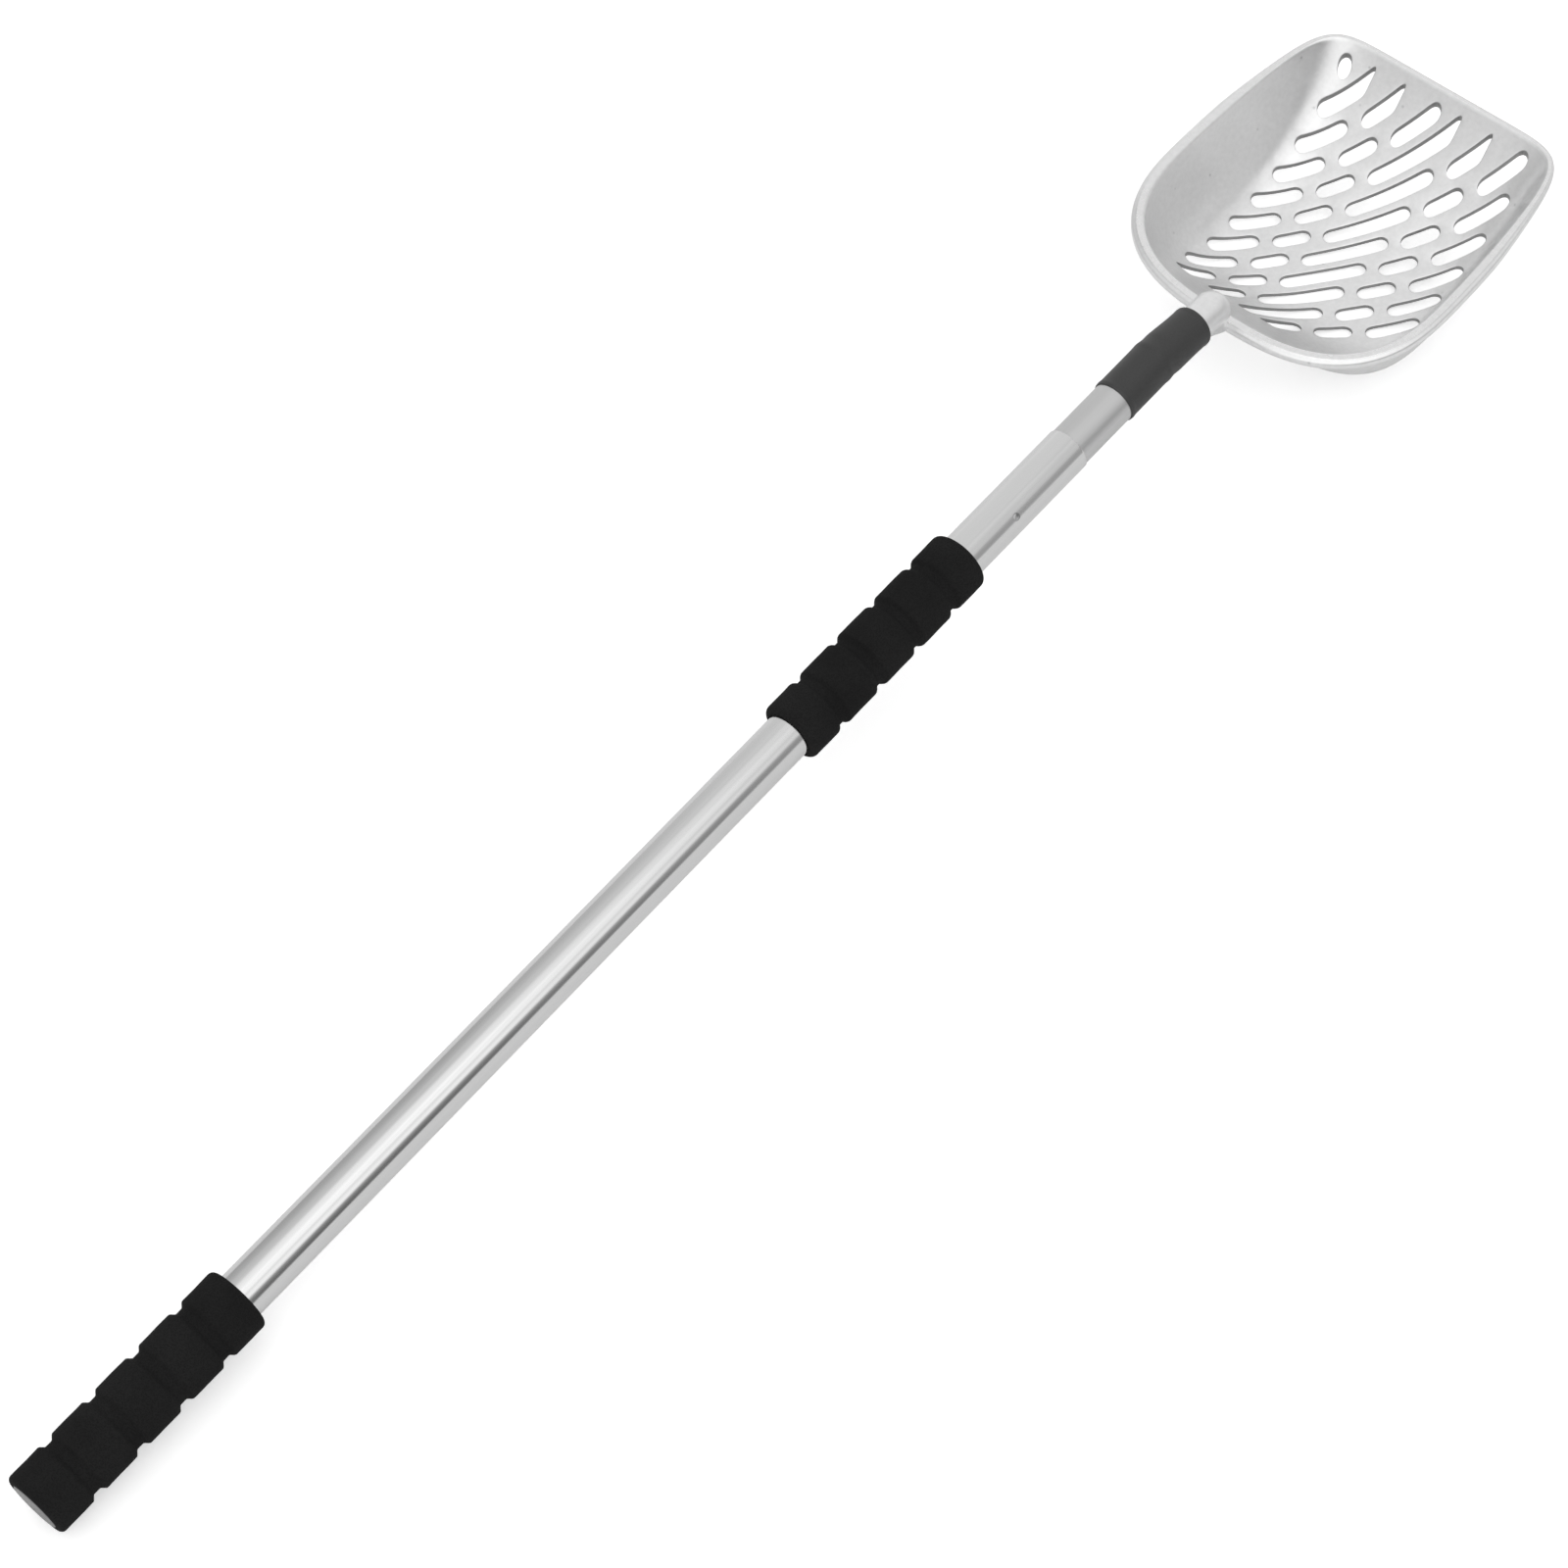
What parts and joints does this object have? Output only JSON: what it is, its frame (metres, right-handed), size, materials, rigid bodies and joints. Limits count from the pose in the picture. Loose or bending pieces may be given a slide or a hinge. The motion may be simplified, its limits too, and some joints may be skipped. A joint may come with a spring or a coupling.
{
  "type": "sieve scoop",
  "caption": "Long-handled sand sieve scoop: cast slotted dish on a twist-lock telescopic pole with foam grips.",
  "frame": {"origin": "centre of the flat outer face of the butt plug", "axes": "+X along the pole from the butt to the dish, +Y to the left, +Z out of the dish's open side"},
  "size_m": [0.9319, 0.1632, 0.0875],
  "materials": {
    "cast_alloy": "tumbled cast aluminium",
    "sleeve_rubber": "satin black",
    "steel_hardware": "plain steel",
    "satin_tube": "satin anodised",
    "dark_plastic": "moulded",
    "white_plastic": "natural nylon",
    "polished_tube": "polished stainless steel",
    "grip_foam": "matt black foam",
    "grey_plastic": "moulded"
  },
  "bodies": {
    "outer_pole": {"outer_tube": "polished_tube", "butt_grip": "grip_foam", "mid_grip": "grip_foam", "end_plug": "grey_plastic"},
    "lock": {"lock_expander": "white_plastic"},
    "inner_pole": {"inner_tube": "satin_tube", "lock_plug": "dark_plastic", "lock_stud": "steel_hardware", "lock_washer": "steel_hardware", "lock_nut": "steel_hardware", "neck_pin": "steel_hardware", "neck_sleeve": "sleeve_rubber", "scoop_head": "cast_alloy"}
  },
  "joints": [
    {"name": "pole_extend", "type": "slide", "parent": "outer_pole", "child": "lock", "axis": [1, 0, 0], "range_m": [0, 0.4]},
    {"name": "pole_twist", "type": "hinge", "parent": "lock", "child": "inner_pole", "pos_m": [0.13, 0, 0], "axis": [1, 0, 0], "range_deg": [0, 180]}
  ]
}
